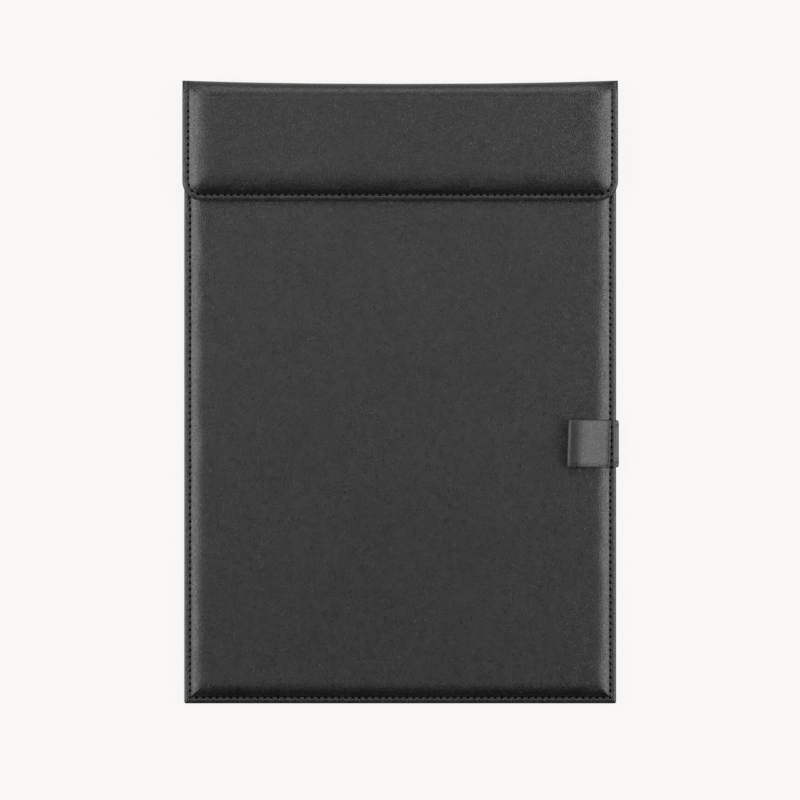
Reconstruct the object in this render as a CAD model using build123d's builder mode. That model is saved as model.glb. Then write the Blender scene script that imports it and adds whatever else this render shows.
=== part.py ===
from build123d import *
import os
from math import cos, degrees, radians, sin, sqrt

# Padded A4 conference folder with a folding magnetic flap and a pen loop.
#
# The folder lies on its back: +Z towards the reader, +Y towards the flap end,
# +X to the right, where the pen loop is sewn on. An outer and an inner leather
# panel run from the board round the spine into the flap and are sewn together
# along a thin rim. Between them lie a stiff sheet and foam. The leather bends
# along two fold lines on the spine, so each panel is cut there into a board
# part, a spine part and a flap part. Dimensions are in millimetres.

os.makedirs("parts", exist_ok=True)

# Overall
board_width = 225.0
flap_width = 226.5
folder_length = 324.4
flap_end_y = 99.5
leather = 0.9
board_thickness = 5.6
closing_gap = 0.3
flap_thickness = 6.3

# Sewn rim: its top face, the width before the padding starts, and the seam
board_rim_z = 3.6
flap_rim_z = 9.4
rim_width = 3.4
rim_back_width = 5.0
back_bevel_run = 2.6
seam_inset = 3.0
groove_width = 1.0
groove_depth = 0.35

# Padding
board_pillow_run = 6.6
flap_pillow_run = 6.5
flap_corner_radius = 10.2
end_pillow_radius = 5.0
flap_end_pillow_radius = 6.0
core_thickness = 2.4
stiffener_thickness = 1.5
core_inset = 8.3
end_margin = 1.0

# Spine: a half round of leather whose corners stand out further than its middle
corner_flare = 1.75
fold_gap = 0.3
fold_angle = 45.0
corner_stations = {0.0: 0.0, 45.0: 0.2, 72.0: 0.6, 92.0: 1.05, 106.5: 1.5, flap_width / 2: corner_flare}

# Magnets in the flap and the steel plates that they pull on
magnet = (40.0, 10.0, stiffener_thickness)
catch_plate = (50.0, 20.0, 0.5)
plate_corner_radius = 2.0
magnet_x = 60.0
magnet_y = 116.0

# Pen loop
strap = 1.2
strap_width = 24.5
strap_y = -26.9
loop_left = 87.1
loop_top_z = 12.7
strap_right = 113.9
loop_hinge_x = 109.45
tail_end_x = 107.8
strap_clearance = 0.3
loop_crest = 6.5
loop_crest_radius = 14.0
loop_top_radius = 2.2
loop_low_radius = 3.4
tail_ply = 1.6
tail_step = 0.4
tail_ply_radius = 0.8
tail_edge_radius = 1.1
tail_inner_radius = 0.1

# Worked out from the above
closed_height = board_thickness + closing_gap + flap_thickness
spine_radius = closed_height / 2
fold_z = spine_radius
fold_y = folder_length / 2 - corner_flare - spine_radius
bottom_y = -folder_length / 2
half_board = board_width / 2
half_flap = flap_width / 2
flap_floor = board_thickness + closing_gap
back_rim_z = board_rim_z - 2 * leather
bevel_shift = (sqrt(back_bevel_run**2 + back_rim_z**2) - back_bevel_run) / back_rim_z
flap_rim_under_z = flap_rim_z - 2 * leather
gap_angle = degrees(fold_gap / 2 / spine_radius)
core_length = fold_y - end_pillow_radius - bottom_y - core_inset
stiffener_length = fold_y - flap_end_pillow_radius - end_margin - flap_end_y - core_inset
catch_plates = []
magnets = []

# Construction planes: profiles across the folder run along Y, profiles along it run along X
across = Plane.XZ.offset(-folder_length)
along = Plane.YZ.offset(-folder_length)

# Construction margins: how far cutters reach past what they cut
far = 20.0
spare = 1.0
lap = 0.3
cut_lap_angle = 5.0


def arc_run(radius, rise):
    """Width of an arc that starts level and has dropped by rise."""
    return sqrt(2 * radius * rise - rise**2)


def arc_radius(run, rise):
    """Radius of an arc that starts level and drops by rise within run."""
    return (run**2 + rise**2) / (2 * rise)


def spine_point(radius, angle):
    """A point of the spine's half round, in the plane across the fold."""
    return (fold_y + radius * cos(radians(angle)), fold_z + radius * sin(radians(angle)))


def mirrored(points):
    """The points followed by their mirror images, as one outline."""
    return points + [(-x, z) for x, z in reversed(points)]


def board_above(depth, reach=0.0):
    """All that lies above the board's underside, taken depth inside the leather."""
    edge = half_board + reach
    slope_shift = depth * bevel_shift
    rim = half_board - rim_back_width - slope_shift
    level = half_board - rim_back_width - back_bevel_run - slope_shift
    end_angle = -fold_angle + (cut_lap_angle if reach else -gap_angle)
    with BuildPart() as space:
        with BuildSketch(across):
            with BuildLine():
                left = [
                    (-edge, far + reach),
                    (-edge, back_rim_z + depth),
                    (-rim, back_rim_z + depth),
                    (-level, depth),
                ]
                Polyline(*mirrored(left), close=True)
            make_face()
        extrude(amount=2 * folder_length)
        with BuildSketch(along):
            with BuildLine():
                toe = bottom_y + rim_back_width + slope_shift
                Polyline(
                    (fold_y, far + reach),
                    (bottom_y - reach, far + reach),
                    (bottom_y - reach, back_rim_z + depth),
                    (toe, back_rim_z + depth),
                    (toe + back_bevel_run, depth),
                    (fold_y, depth),
                )
                round_part = CenterArc(
                    (fold_y, fold_z), spine_radius - depth, -90, end_angle + 90
                )
                Polyline(round_part @ 1, (fold_y, fold_z), (fold_y, far + reach))
            make_face()
        extrude(amount=2 * folder_length, mode=Mode.INTERSECT)
    return space.part


def board_below(depth):
    """All that lies below the writing face, taken depth inside the leather."""
    face = board_thickness - depth
    rise = board_thickness - board_rim_z
    side = arc_run(arc_radius(board_pillow_run, rise) - depth, rise + lap)
    level = half_board - rim_width - board_pillow_run
    end_rise = board_thickness - 2 * leather
    end_level = fold_y - arc_run(end_pillow_radius, end_rise)
    end = arc_run(end_pillow_radius - depth, end_rise + lap)
    with BuildPart() as space:
        with BuildSketch(across):
            with BuildLine():
                top = Line((-level, face), (level, face))
                right = TangentArc(top @ 1, (level + side, face - rise - lap), tangent=(1, 0))
                left = TangentArc(top @ 0, (-level - side, face - rise - lap), tangent=(-1, 0))
                Polyline(right @ 1, (level + side, -far), (-level - side, -far), left @ 1)
            make_face()
        extrude(amount=2 * folder_length)
        with BuildSketch(along):
            with BuildLine():
                near = bottom_y + rim_width + board_pillow_run
                top = Line((near, face), (end_level, face))
                back = TangentArc(top @ 1, (end_level + end, face - end_rise - lap), tangent=(1, 0))
                front = TangentArc(top @ 0, (near - side, face - rise - lap), tangent=(-1, 0))
                Polyline(back @ 1, (end_level + end, -far), (near - side, -far), front @ 1)
            make_face()
        extrude(amount=2 * folder_length, mode=Mode.INTERSECT)
    return space.part


def groove(half_width, end_y, corner, level, depth):
    """The channel that the seam presses into a rim, round three sides."""
    side = half_width - seam_inset
    end = end_y + seam_inset
    with BuildPart() as channel:
        with BuildSketch(Plane.XY.offset(level)) as outline:
            with BuildLine():
                FilletPolyline(
                    (-side, fold_y), (-side, end), (side, end), (side, fold_y), radius=corner
                )
            trace(line_width=groove_width)
        extrude(outline.sketch, amount=depth)
    return channel.part


def flap_path(half_width, end_y, corner):
    """The flap's outline from its upper left corner round to its upper right."""
    with BuildLine() as path:
        FilletPolyline(
            (-half_width, fold_y + spine_radius),
            (-half_width, end_y),
            (half_width, end_y),
            (half_width, fold_y + spine_radius),
            radius=corner,
        )
    return path.line


def flap_edge_plane():
    """The plane at the start of the flap's outline: inwards along X, up along Z."""
    start = (-half_flap, fold_y + spine_radius, 0)
    return Plane(origin=start, x_dir=(1, 0, 0), z_dir=(0, -1, 0))


def flap_below(depth):
    """All that lies below the flap's outer face, taken depth inside the leather."""
    face = closed_height - depth
    rise = closed_height - flap_rim_z
    side = arc_run(arc_radius(flap_pillow_run, rise) - depth, rise)
    level = rim_width + flap_pillow_run
    with BuildPart() as space:
        with BuildSketch(along):
            with BuildLine():
                flat = Polyline(
                    (fold_y, flap_floor), (flap_end_y, flap_floor), (flap_end_y, face), (fold_y, face)
                )
                round_part = CenterArc(
                    (fold_y, fold_z), spine_radius - depth, 90, fold_angle + gap_angle - 90
                )
                Polyline(round_part @ 1, (fold_y, fold_z), flat @ 0)
            make_face()
        extrude(amount=2 * folder_length)
        with BuildSketch(Plane.XY):
            with BuildLine():
                edge = flap_path(half_flap, flap_end_y, flap_corner_radius)
                add(edge)
                Line(edge @ 0, edge @ 1)
            make_face()
        extrude(amount=far, mode=Mode.INTERSECT)
        with BuildSketch(flap_edge_plane()):
            with BuildLine():
                foot = (level - side, face - rise)
                toe = Polyline((level, far), (-spare, far), (-spare, face - rise), foot)
                pillow = TangentArc((level, face), foot, tangent=(-1, 0))
                Line(pillow @ 0, toe @ 0)
            make_face()
        sweep(path=flap_path(half_flap, flap_end_y, flap_corner_radius), mode=Mode.SUBTRACT)
    return space.part


def under_flap(depth):
    """All that lies below the flap's lining, taken depth inside the leather."""
    face = flap_floor + depth
    shift = depth * bevel_shift
    bevel_start = rim_back_width + shift
    bevel_end = bevel_start + back_bevel_run
    end_rise = flap_thickness - 2 * leather
    end_level = fold_y - arc_run(flap_end_pillow_radius, end_rise)
    end = arc_run(flap_end_pillow_radius - depth, end_rise)
    with BuildPart() as space:
        with BuildSketch(flap_edge_plane()):
            with BuildLine():
                Polyline(
                    (-spare, 0),
                    (-spare, flap_rim_under_z + depth),
                    (bevel_start, flap_rim_under_z + depth),
                    (bevel_end, face),
                    (bevel_end, 0),
                    close=True,
                )
            make_face()
        sweep(path=flap_path(half_flap, flap_end_y, flap_corner_radius))
        with BuildSketch(Plane.YZ.offset(-half_flap - spare)):
            with BuildLine():
                curve = TangentArc(
                    (end_level, face), (end_level + end, face + end_rise), tangent=(1, 0)
                )
                Polyline(
                    curve @ 1,
                    (fold_y + spine_radius, far),
                    (fold_y + spine_radius, 0),
                    (end_level, 0),
                    curve @ 0,
                )
            make_face()
        extrude(amount=flap_width + 2 * spare)
        with BuildSketch(Plane.XY):
            with Locations((0, flap_end_y - spare)):
                Rectangle(
                    flap_width + 2 * spare,
                    fold_y - flap_end_y,
                    align=(Align.CENTER, Align.MIN),
                )
        extrude(amount=face)
    return space.part


def spine_layer(outer, inner):
    """One leather layer of the spine, lofted through its cross sections."""
    end_angle = fold_angle - gap_angle
    right = list(corner_stations.items())
    left_to_right = [(-x, flare) for x, flare in reversed(right[1:])] + right
    with BuildPart() as layer:
        for x, flare in left_to_right:
            with BuildSketch(Plane.YZ.offset(x)):
                with BuildLine():
                    arcs = [
                        ThreePointArc(
                            spine_point(spine_radius - depth, -end_angle),
                            (fold_y + spine_radius - depth + flare, fold_z),
                            spine_point(spine_radius - depth, end_angle),
                        )
                        for depth in (outer, inner)
                    ]
                    Line(arcs[0] @ 0, arcs[1] @ 0)
                    Line(arcs[0] @ 1, arcs[1] @ 1)
                make_face()
        loft(ruled=True)
    return layer.part


# Board
with BuildPart() as board_padding:
    add(board_above(leather))
    add(board_below(leather), mode=Mode.INTERSECT)

with BuildPart() as back_skin:
    add(board_above(0))
    add(board_above(leather, spare), mode=Mode.SUBTRACT)
    add(groove(half_board, bottom_y, 0, back_rim_z, groove_depth), mode=Mode.SUBTRACT)
back_skin.part.label = "back_skin"
export_step(back_skin.part, "parts/back_skin.step")

with BuildPart() as board_free_space:
    add(board_above(2 * leather, spare))
    add(board_below(0), mode=Mode.SUBTRACT)

with BuildPart() as front_skin:
    add(board_above(leather))
    add(board_free_space.part, mode=Mode.SUBTRACT)
    add(board_padding.part, mode=Mode.SUBTRACT)
    add(groove(half_board, bottom_y, 0, board_rim_z, -groove_depth), mode=Mode.SUBTRACT)
front_skin.part.label = "front_skin"
export_step(front_skin.part, "parts/front_skin.step")

with BuildPart() as board_core:
    with BuildSketch(Plane.XY.offset(leather)):
        with Locations((0, bottom_y + core_inset)):
            Rectangle(
                board_width - 2 * core_inset, core_length, align=(Align.CENTER, Align.MIN)
            )
    extrude(amount=core_thickness)
board_core.part.label = "board_core"
export_step(board_core.part, "parts/board_core.step")

for side, x in (("left", -magnet_x), ("right", magnet_x)):
    with BuildPart() as catch:
        with BuildSketch(Plane.XY.offset(board_thickness - leather)):
            with Locations((x, magnet_y)):
                RectangleRounded(catch_plate[0], catch_plate[1], plate_corner_radius)
        extrude(amount=-catch_plate[2])
    catch.part.label = "catch_plate_" + side
    export_step(catch.part, f"parts/catch_plate_{side}.step")
    catch_plates.append(catch.part)

with BuildPart() as board_foam:
    add(board_padding.part)
    add(board_core.part, mode=Mode.SUBTRACT)
    add(catch_plates, mode=Mode.SUBTRACT)
board_foam.part.label = "board_foam"
export_step(board_foam.part, "parts/board_foam.step")

# Flap
with BuildPart() as flap_padding:
    add(flap_below(leather))
    add(under_flap(leather), mode=Mode.SUBTRACT)

with BuildPart() as flap_skin:
    add(flap_below(0))
    add(flap_below(leather), mode=Mode.SUBTRACT)
    add(
        groove(half_flap, flap_end_y, flap_corner_radius - seam_inset, flap_rim_z, -groove_depth),
        mode=Mode.SUBTRACT,
    )
flap_skin.part.label = "flap_skin"
export_step(flap_skin.part, "parts/flap_skin.step")

with BuildPart() as flap_free_space:
    add(flap_below(2 * leather))
    add(under_flap(0), mode=Mode.INTERSECT)

with BuildPart() as flap_lining:
    add(flap_below(leather))
    add(flap_free_space.part, mode=Mode.SUBTRACT)
    add(flap_padding.part, mode=Mode.SUBTRACT)
    add(
        groove(half_flap, flap_end_y, flap_corner_radius - seam_inset, flap_rim_under_z, groove_depth),
        mode=Mode.SUBTRACT,
    )
flap_lining.part.label = "flap_lining"
export_step(flap_lining.part, "parts/flap_lining.step")

stiffener_plane = Plane.XY.offset(flap_floor + leather)
for side, x in (("left", -magnet_x), ("right", magnet_x)):
    with BuildPart() as block:
        with BuildSketch(stiffener_plane):
            with Locations((x, magnet_y)):
                Rectangle(magnet[0], magnet[1])
        extrude(amount=magnet[2])
    block.part.label = "magnet_" + side
    export_step(block.part, f"parts/magnet_{side}.step")
    magnets.append(block.part)

with BuildPart() as stiffener_room:
    with BuildSketch(stiffener_plane):
        with Locations((0, flap_end_y + core_inset)):
            Rectangle(
                flap_width - 2 * core_inset, stiffener_length, align=(Align.CENTER, Align.MIN)
            )
    extrude(amount=stiffener_thickness)

with BuildPart() as flap_stiffener:
    add(stiffener_room.part)
    add(magnets, mode=Mode.SUBTRACT)
flap_stiffener.part.label = "flap_stiffener"
export_step(flap_stiffener.part, "parts/flap_stiffener.step")

with BuildPart() as flap_foam:
    add(flap_padding.part)
    add(stiffener_room.part, mode=Mode.SUBTRACT)
flap_foam.part.label = "flap_foam"
export_step(flap_foam.part, "parts/flap_foam.step")

# Spine
for name, outer, inner in (("spine_skin", 0, leather), ("spine_lining", leather, 2 * leather)):
    spine = spine_layer(outer, inner)
    spine.label = name
    export_step(spine, f"parts/{name}.step")

# Pen loop: the strap's moving loop, then its end that is sewn round the board's edge
with BuildPart() as pen_loop:
    with BuildSketch(Plane.XZ.offset(-strap_y)):
        with BuildLine():
            rise = board_thickness - board_rim_z
            pillow = arc_radius(board_pillow_run, rise) + strap_clearance
            level = half_board - rim_width - board_pillow_run
            low_z = board_thickness + strap_clearance
            seam_low = board_rim_z + strap_clearance
            run = arc_run(pillow, low_z - seam_low)
            under = TangentArc((level, low_z), (level + run, seam_low), tangent=(1, 0))
            tip = Line(under @ 1, (loop_hinge_x - fold_gap / 2, seam_low))
            FilletPolyline(
                tip @ 1,
                (loop_hinge_x - fold_gap / 2, seam_low + 2 * strap),
                (loop_left + loop_crest, loop_top_z),
                (loop_left, loop_top_z),
                (loop_left, low_z),
                under @ 0,
                radius=[0, loop_crest_radius, loop_top_radius, loop_low_radius],
            )
        make_face()
        offset(amount=-strap, kind=Kind.INTERSECTION, mode=Mode.SUBTRACT)
    extrude(amount=strap_width / 2, both=True)
pen_loop.part.label = "pen_loop"
export_step(pen_loop.part, "parts/pen_loop.step")

with BuildPart() as pen_loop_tail:
    with BuildSketch(Plane.XZ.offset(-strap_y)):
        with BuildLine():
            near = loop_hinge_x + fold_gap / 2
            wall = half_board + strap_clearance
            tail_radii = [0, 0, tail_ply_radius, tail_ply_radius, tail_edge_radius, tail_edge_radius]
            tail_radii += [0, 0, tail_inner_radius, tail_inner_radius]
            FilletPolyline(
                (near, board_rim_z + strap_clearance),
                (near, board_rim_z + strap_clearance + 2 * strap),
                (near + tail_ply, board_rim_z + strap_clearance + 2 * strap),
                (wall - tail_step, board_rim_z + strap_clearance + strap),
                (strap_right, board_rim_z + strap_clearance + strap),
                (strap_right, back_rim_z - strap_clearance - strap),
                (tail_end_x, back_rim_z - strap_clearance - strap),
                (tail_end_x, back_rim_z - strap_clearance),
                (wall, back_rim_z - strap_clearance),
                (wall, board_rim_z + strap_clearance),
                radius=tail_radii,
                close=True,
            )
        make_face()
    extrude(amount=strap_width / 2, both=True)
pen_loop_tail.part.label = "pen_loop_tail"
export_step(pen_loop_tail.part, "parts/pen_loop_tail.step")
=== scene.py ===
from math import cos, exp, pi, sin, sqrt

import bmesh
import bpy
from mathutils import Matrix, Vector, noise


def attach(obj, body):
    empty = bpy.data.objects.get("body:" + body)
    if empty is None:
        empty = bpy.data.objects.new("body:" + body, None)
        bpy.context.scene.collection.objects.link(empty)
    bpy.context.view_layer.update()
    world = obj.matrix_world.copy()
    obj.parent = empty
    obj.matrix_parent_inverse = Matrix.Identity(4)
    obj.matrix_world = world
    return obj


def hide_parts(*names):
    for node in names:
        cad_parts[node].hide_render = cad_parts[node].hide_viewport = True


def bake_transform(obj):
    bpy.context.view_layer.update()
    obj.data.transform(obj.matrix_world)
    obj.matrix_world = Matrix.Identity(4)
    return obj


bl_info = {
    "name": "Padded Conference Folder",
    "version": (1, 0, 0),
    "blender": (4, 5, 0),
    "location": "View3D > Sidebar > Folder",
    "description": "Padded A4 writing folder in black leather with a magnetic flap and a pen loop",
    "category": "Add Mesh",
}

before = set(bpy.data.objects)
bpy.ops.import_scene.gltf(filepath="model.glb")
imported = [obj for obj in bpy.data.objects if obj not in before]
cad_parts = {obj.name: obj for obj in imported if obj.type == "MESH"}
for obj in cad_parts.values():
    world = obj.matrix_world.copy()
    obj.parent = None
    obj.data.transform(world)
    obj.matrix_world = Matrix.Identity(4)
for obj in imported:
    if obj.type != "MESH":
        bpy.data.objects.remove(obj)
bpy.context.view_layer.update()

MM = 0.001


def millimetres(value, name, description):
    """A length property, given in millimetres and kept in metres."""
    return bpy.props.FloatProperty(
        name=name, description=description, default=value * MM, unit="LENGTH", subtype="DISTANCE", precision=5
    )


def linear_colour(code):
    """The linear colour of an sRGB hex value."""
    levels = [int(code[i : i + 2], 16) / 255 for i in (1, 3, 5)]
    return tuple(c / 12.92 if c <= 0.04045 else ((c + 0.055) / 1.055) ** 2.4 for c in levels)


def colour(code, name, description):
    """A colour property, given as an sRGB hex value."""
    return bpy.props.FloatVectorProperty(
        name=name, description=description, default=linear_colour(code), subtype="COLOR", size=3, min=0, max=1
    )


class FolderSizes(bpy.types.PropertyGroup):
    """Sizes of the folder's leather work."""

    leather: millimetres(0.9, "Leather", "Thickness of one leather layer")
    seam_inset: millimetres(3.0, "Seam inset", "Distance of the sewn line from the edge")
    seam_depth: millimetres(0.6, "Seam depth", "How deep the thread pulls the leather in")
    stitch_pitch: millimetres(3.5, "Stitch pitch", "Length from needle hole to needle hole")
    thread: millimetres(0.42, "Thread", "Diameter of the sewing thread")
    board_pad_run: millimetres(8.2, "Board padding run", "Width over which the board's padding rises")
    flap_pad_run: millimetres(13.0, "Flap padding run", "Width over which the flap's padding rises")
    crease_depth: millimetres(0.12, "Crease depth", "Depth of the crease where the flap bends")
    grain: millimetres(1.0, "Leather grain", "Width of one cell of the leather's grain")
    strap: millimetres(1.2, "Strap", "Thickness of the pen loop's strap")
    strap_width: millimetres(24.5, "Strap width", "Width of the pen loop")


class FolderColours(bpy.types.PropertyGroup):
    """Colours of the folder's materials."""

    leather: colour("#070708", "Leather", "Black synthetic leather")
    leather_worn: colour("#0b0b0c", "Leather highlights", "Raised grain of the black leather")
    strap: colour("#09090a", "Strap", "Strap leather of the pen loop")
    thread: colour("#0b0b0c", "Thread", "Black polyester sewing thread")
    greyboard: colour("#a29b90", "Greyboard", "Stiff sheets inside the board and flap")
    foam: colour("#4a4a4c", "Foam", "Padding under the leather")
    steel: colour("#b4b6b8", "Steel", "Catch plates")
    nickel: colour("#c3beb4", "Nickel", "Plated magnets")
    background: colour("#fcfaf8", "Background", "Pale floor behind the folder")


# The frame's own lines, in millimetres, as the CAD model has them
HALF_BOARD = 112.5
HALF_FLAP = 113.25
BOTTOM_Y = -162.2
FLAP_END_Y = 99.5
FOLD_Y = 154.35
APEX_Y = 160.45
APEX_Z = 6.1
RIM_APEX_Z = 5.6
BOARD_RIM_Z = 3.6
BOARD_TOP_Z = 5.6
BACK_RIM_Z = 1.8
FLAP_RIM_Z = 9.4
FLAP_TOP_Z = 12.2
FLAP_UNDER_RIM_Z = 7.6
FLAP_FLOOR_Z = 5.9
RIM_WIDTH = 3.4
BACK_RIM_WIDTH = 5.0
BACK_BEVEL_RUN = 2.6
FLAP_CORNER = 10.2
BOARD_CORNER = 0.9
CORNER_REACH = 16.0
SPINE_RUN = 9.6
BOARD_FOLD = FOLD_Y - BOTTOM_Y
FLAP_FOLD = FOLD_Y - FLAP_END_Y
FLARE = ((0, 0.0), (45, 0.2), (72, 0.6), (92, 1.05), (106.5, 1.5), (113.25, 1.75))
STRAP_Y = -26.9
HINGE_X = 109.45
STRAP_SEAM_X = 110.1
STRAP_TOP_Z = 6.3
STRAP_UNDER_Z = 0.3
STRAP_COVER = 12.6

# How the padding, the bevel and the cut edge rise and fall. Lengths are in millimetres.
PAD_ROUNDNESS = 2.4
PAD_FOOT = 0.16
PAD_START = 0.1
BEVEL_EASE = 0.4
EDGE_ROLL = 0.5
EDGE_ROLL_WIDTH = 2.6
EDGE_ROLL_ROUNDNESS = 2.2
CUT_EDGE = 0.3
CUT_EDGE_WIDTH = 0.55
SEAM_GROOVE = 0.42
STRAP_GROOVE = 0.45

# Unevenness of the leather: heights and lengths of its waves, in millimetres
NOISE_GAIN = 1.6
FLAP_SWELL = 0.07
FLAP_SWELL_WAVE = 22
FLAP_PUCKER = 0.28
FLAP_PUCKER_WAVE = 9
LOWEST_PUCKER = -0.25
BOARD_SWELL = 0.05
BOARD_SWELL_WAVE = 30
BOARD_PUCKER = 0.24
BOARD_PUCKER_WAVE = 10
CREASE_WANDER = 0.25
CREASE_WANDER_WAVE = 14

# The crease where the flap bends, which turns away from the fold at the flap's sides
CREASE_BEFORE_FOLD = 0.5
CREASE_WIDTH = 1.0
CREASE_END = 1.5
CREASE_FADE = 3
MITRE = 4.4
MITRE_START = 12.0
MITRE_RUN = 8.5
MITRE_DEEPENING = 0.5

# Bends of the inner leather where it turns into the spine
BEND_ROUNDNESS = 2.4
BEND_EASE = 4
LINING_BEND_RUN = 5.81
LINING_BEND_RISE = 4.5
LINING_TOP_Z = 10.4
FACE_BEND_RUN = 4.85
FACE_BEND_DROP = 3.8

# One stitch and its needle hole. The first three are shares of the pitch.
STITCH_HALF = 0.44
THREAD_START = 0.1
THREAD_END = 0.9
THREAD_FLATNESS = 0.8
STITCH_LIFT = 0.02
STITCH_SLANT = 0.12
HOLE_HALF_AXES = (0.9, 0.78, 0.74)
SEAM_END_GAP = 2.0

# Routes of the strap's middle line across the board's edge, as (X, Z)
LOOP_ROUTE = (
    (109.55, 6.3), (107.6, 6.55), (105, 7.6), (101, 9.35), (97, 11.1), (94, 12.2), (91.2, 12.66),
    (88.3, 12.5), (87.1, 11.7), (86.9, 10.4), (87.0, 8.7), (87.75, 7.1), (89.3, 6.1), (91.6, 5.92),
    (96, 5.92), (102.4, 5.92), (105.2, 5.55), (107.6, 4.75), (109.0, 4.0), (109.55, 3.9),
)
TAIL_INNER_ROUTE = ((112.3, 5.1), (111.4, 5.1), (109.55, 5.1))
TAIL_ROUTE = (
    (107.8, 0.3), (109.6, 0.3), (111.5, 0.3), (112.7, 0.35), (113.5, 0.65), (113.88, 1.4),
    (113.9, 3.0), (113.88, 4.2), (113.6, 4.8), (113.0, 5.1), (112.3, 5.5), (111.5, 6.15),
    (110.6, 6.3), (109.55, 6.3),
)
STRAP_ROWS = (-1, -0.985, -0.95, -0.9, -0.8, -0.65, -0.45, -0.2, 0, 0.2, 0.45, 0.65, 0.8, 0.9, 0.95, 0.985, 1)

# The camera, in metres: its height, the width that it sees and where it looks
CAMERA_HEIGHT = 2.5
VIEW_WIDTH = 0.4164
VIEW_CENTRE = (-0.0001, -0.0041)
SENSOR_WIDTH = 36

# Steps of the meshes from a sewn edge inwards: close together where the seam lies
EDGE_STEPS = (
    0, 0.15, 0.35, 0.6, 0.9, 1.3, 1.8, 2.2, 2.5, 2.7, 2.85, 3.0, 3.15, 3.3, 3.5, 3.8,
    4.2, 4.7, 5.3, 6.0, 6.8, 7.7, 8.7, 9.8, 11.0, 12.4, 14.0, 16.0, 18.5,
)
EVEN_STEP = 4.0
CREASE_STEP = 0.6
CREASED_RUN = 9.0
SPINE_STEPS = 18


def smooth(t):
    """0 to 1 with level ends."""
    t = min(max(t, 0.0), 1.0)
    return t * t * (3 - 2 * t)


def padding_rise(depth, run):
    """Share of its full height that the padding has at a depth inside the edge."""
    t = min(max((depth - RIM_WIDTH) / run, 0.0), 1.0)
    return (1 - (1 - t) ** PAD_ROUNDNESS) * smooth(t / PAD_FOOT + PAD_START)


def bevel_rise(depth):
    """Share of its full height that the stiff back has at a depth inside the edge."""
    return smooth((depth - BACK_RIM_WIDTH + BEVEL_EASE) / (BACK_BEVEL_RUN + 2 * BEVEL_EASE))


def edge_fall(depth):
    """How far the leather's cut edge is rounded off."""
    roll = EDGE_ROLL * max(0.0, 1 - depth / EDGE_ROLL_WIDTH) ** EDGE_ROLL_ROUNDNESS
    return roll + CUT_EDGE * max(0.0, 1 - depth / CUT_EDGE_WIDTH) ** 2


def seam_fall(depth, sizes):
    """How far the thread pulls the leather in at a depth inside the edge."""
    inset = sizes.seam_inset / MM
    return sizes.seam_depth / MM * exp(-(((depth - inset) / SEAM_GROOVE) ** 2))


def unevenness(x, y, wave, seed):
    """Slow rise and fall of hand worked leather, between about -1 and 1."""
    return noise.noise(Vector((x / wave, y / wave, seed))) * NOISE_GAIN


def flare(x):
    """How far the spine stands out further than in its middle."""
    x = abs(x)
    for (x0, f0), (x1, f1) in zip(FLARE, FLARE[1:]):
        if x <= x1:
            return f0 + (f1 - f0) * (x - x0) / (x1 - x0)
    return FLARE[-1][1]


def across_steps(half):
    """Stations from one sewn side to the other."""
    inner = half - EDGE_STEPS[-1]
    count = round(2 * inner / EVEN_STEP)
    middle = [-inner + 2 * inner * i / count for i in range(1, count)]
    left = [-half + d for d in EDGE_STEPS]
    return left + middle + [-x for x in reversed(left)]


def along_steps(fold):
    """Stations from the sewn end to the fold and on round half of the spine."""
    start = EDGE_STEPS[-1]
    count = round((fold - CREASED_RUN - start) / EVEN_STEP)
    middle = [start + (fold - CREASED_RUN - start) * i / count for i in range(1, count)]
    creased = [fold - CREASED_RUN + CREASE_STEP * i for i in range(round(CREASED_RUN / CREASE_STEP) + 1)]
    spine = [fold + SPINE_RUN * i / SPINE_STEPS for i in range(1, SPINE_STEPS + 1)]
    return list(EDGE_STEPS) + middle + creased + spine


def round_corner(a, b, radius):
    """Takes a point at distances a and b from two edges to the rounded corner between them.

    Gives the new distances and the length walked from the corner's middle.
    """
    depth, rest = min(a, b), max(a, b)
    bend = max(radius - depth, 0.0)
    arc = bend * pi / 4
    straight = max(radius, depth)
    if rest >= CORNER_REACH:
        return a, b, arc + rest - straight
    walk = (rest - depth) / (CORNER_REACH - depth) * (arc + CORNER_REACH - straight)
    near, wide = corner_point(walk, depth, radius)
    return (near, wide, walk) if a <= b else (wide, near, walk)


def corner_point(walk, depth, radius):
    """The point a length away from a rounded corner's middle, on the line at that depth."""
    bend = max(radius - depth, 0.0)
    arc = bend * pi / 4
    if walk < arc:
        turn = pi / 4 - walk / bend
        return radius - bend * cos(turn), radius - bend * sin(turn)
    return depth, max(radius, depth) + walk - arc


def spine_centre(depth, run):
    """Height of the spine's outermost line, which is lower at its sewn ends."""
    return APEX_Z - (APEX_Z - RIM_APEX_Z) * (1 - padding_rise(depth, run))


def round_the_spine(x, past_fold, reach, centre, level, outward, upward):
    """A point past the fold, between its level at the fold and the spine's outermost line.

    Gives its outward direction too. outward and upward are 1 or -1, for the side that shows.
    """
    turn = past_fold / SPINE_RUN * pi / 2
    out = Vector((0, outward * sin(turn), upward * cos(turn)))
    return Vector((x, FOLD_Y + reach * sin(turn), centre + (level - centre) * cos(turn))), out


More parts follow.
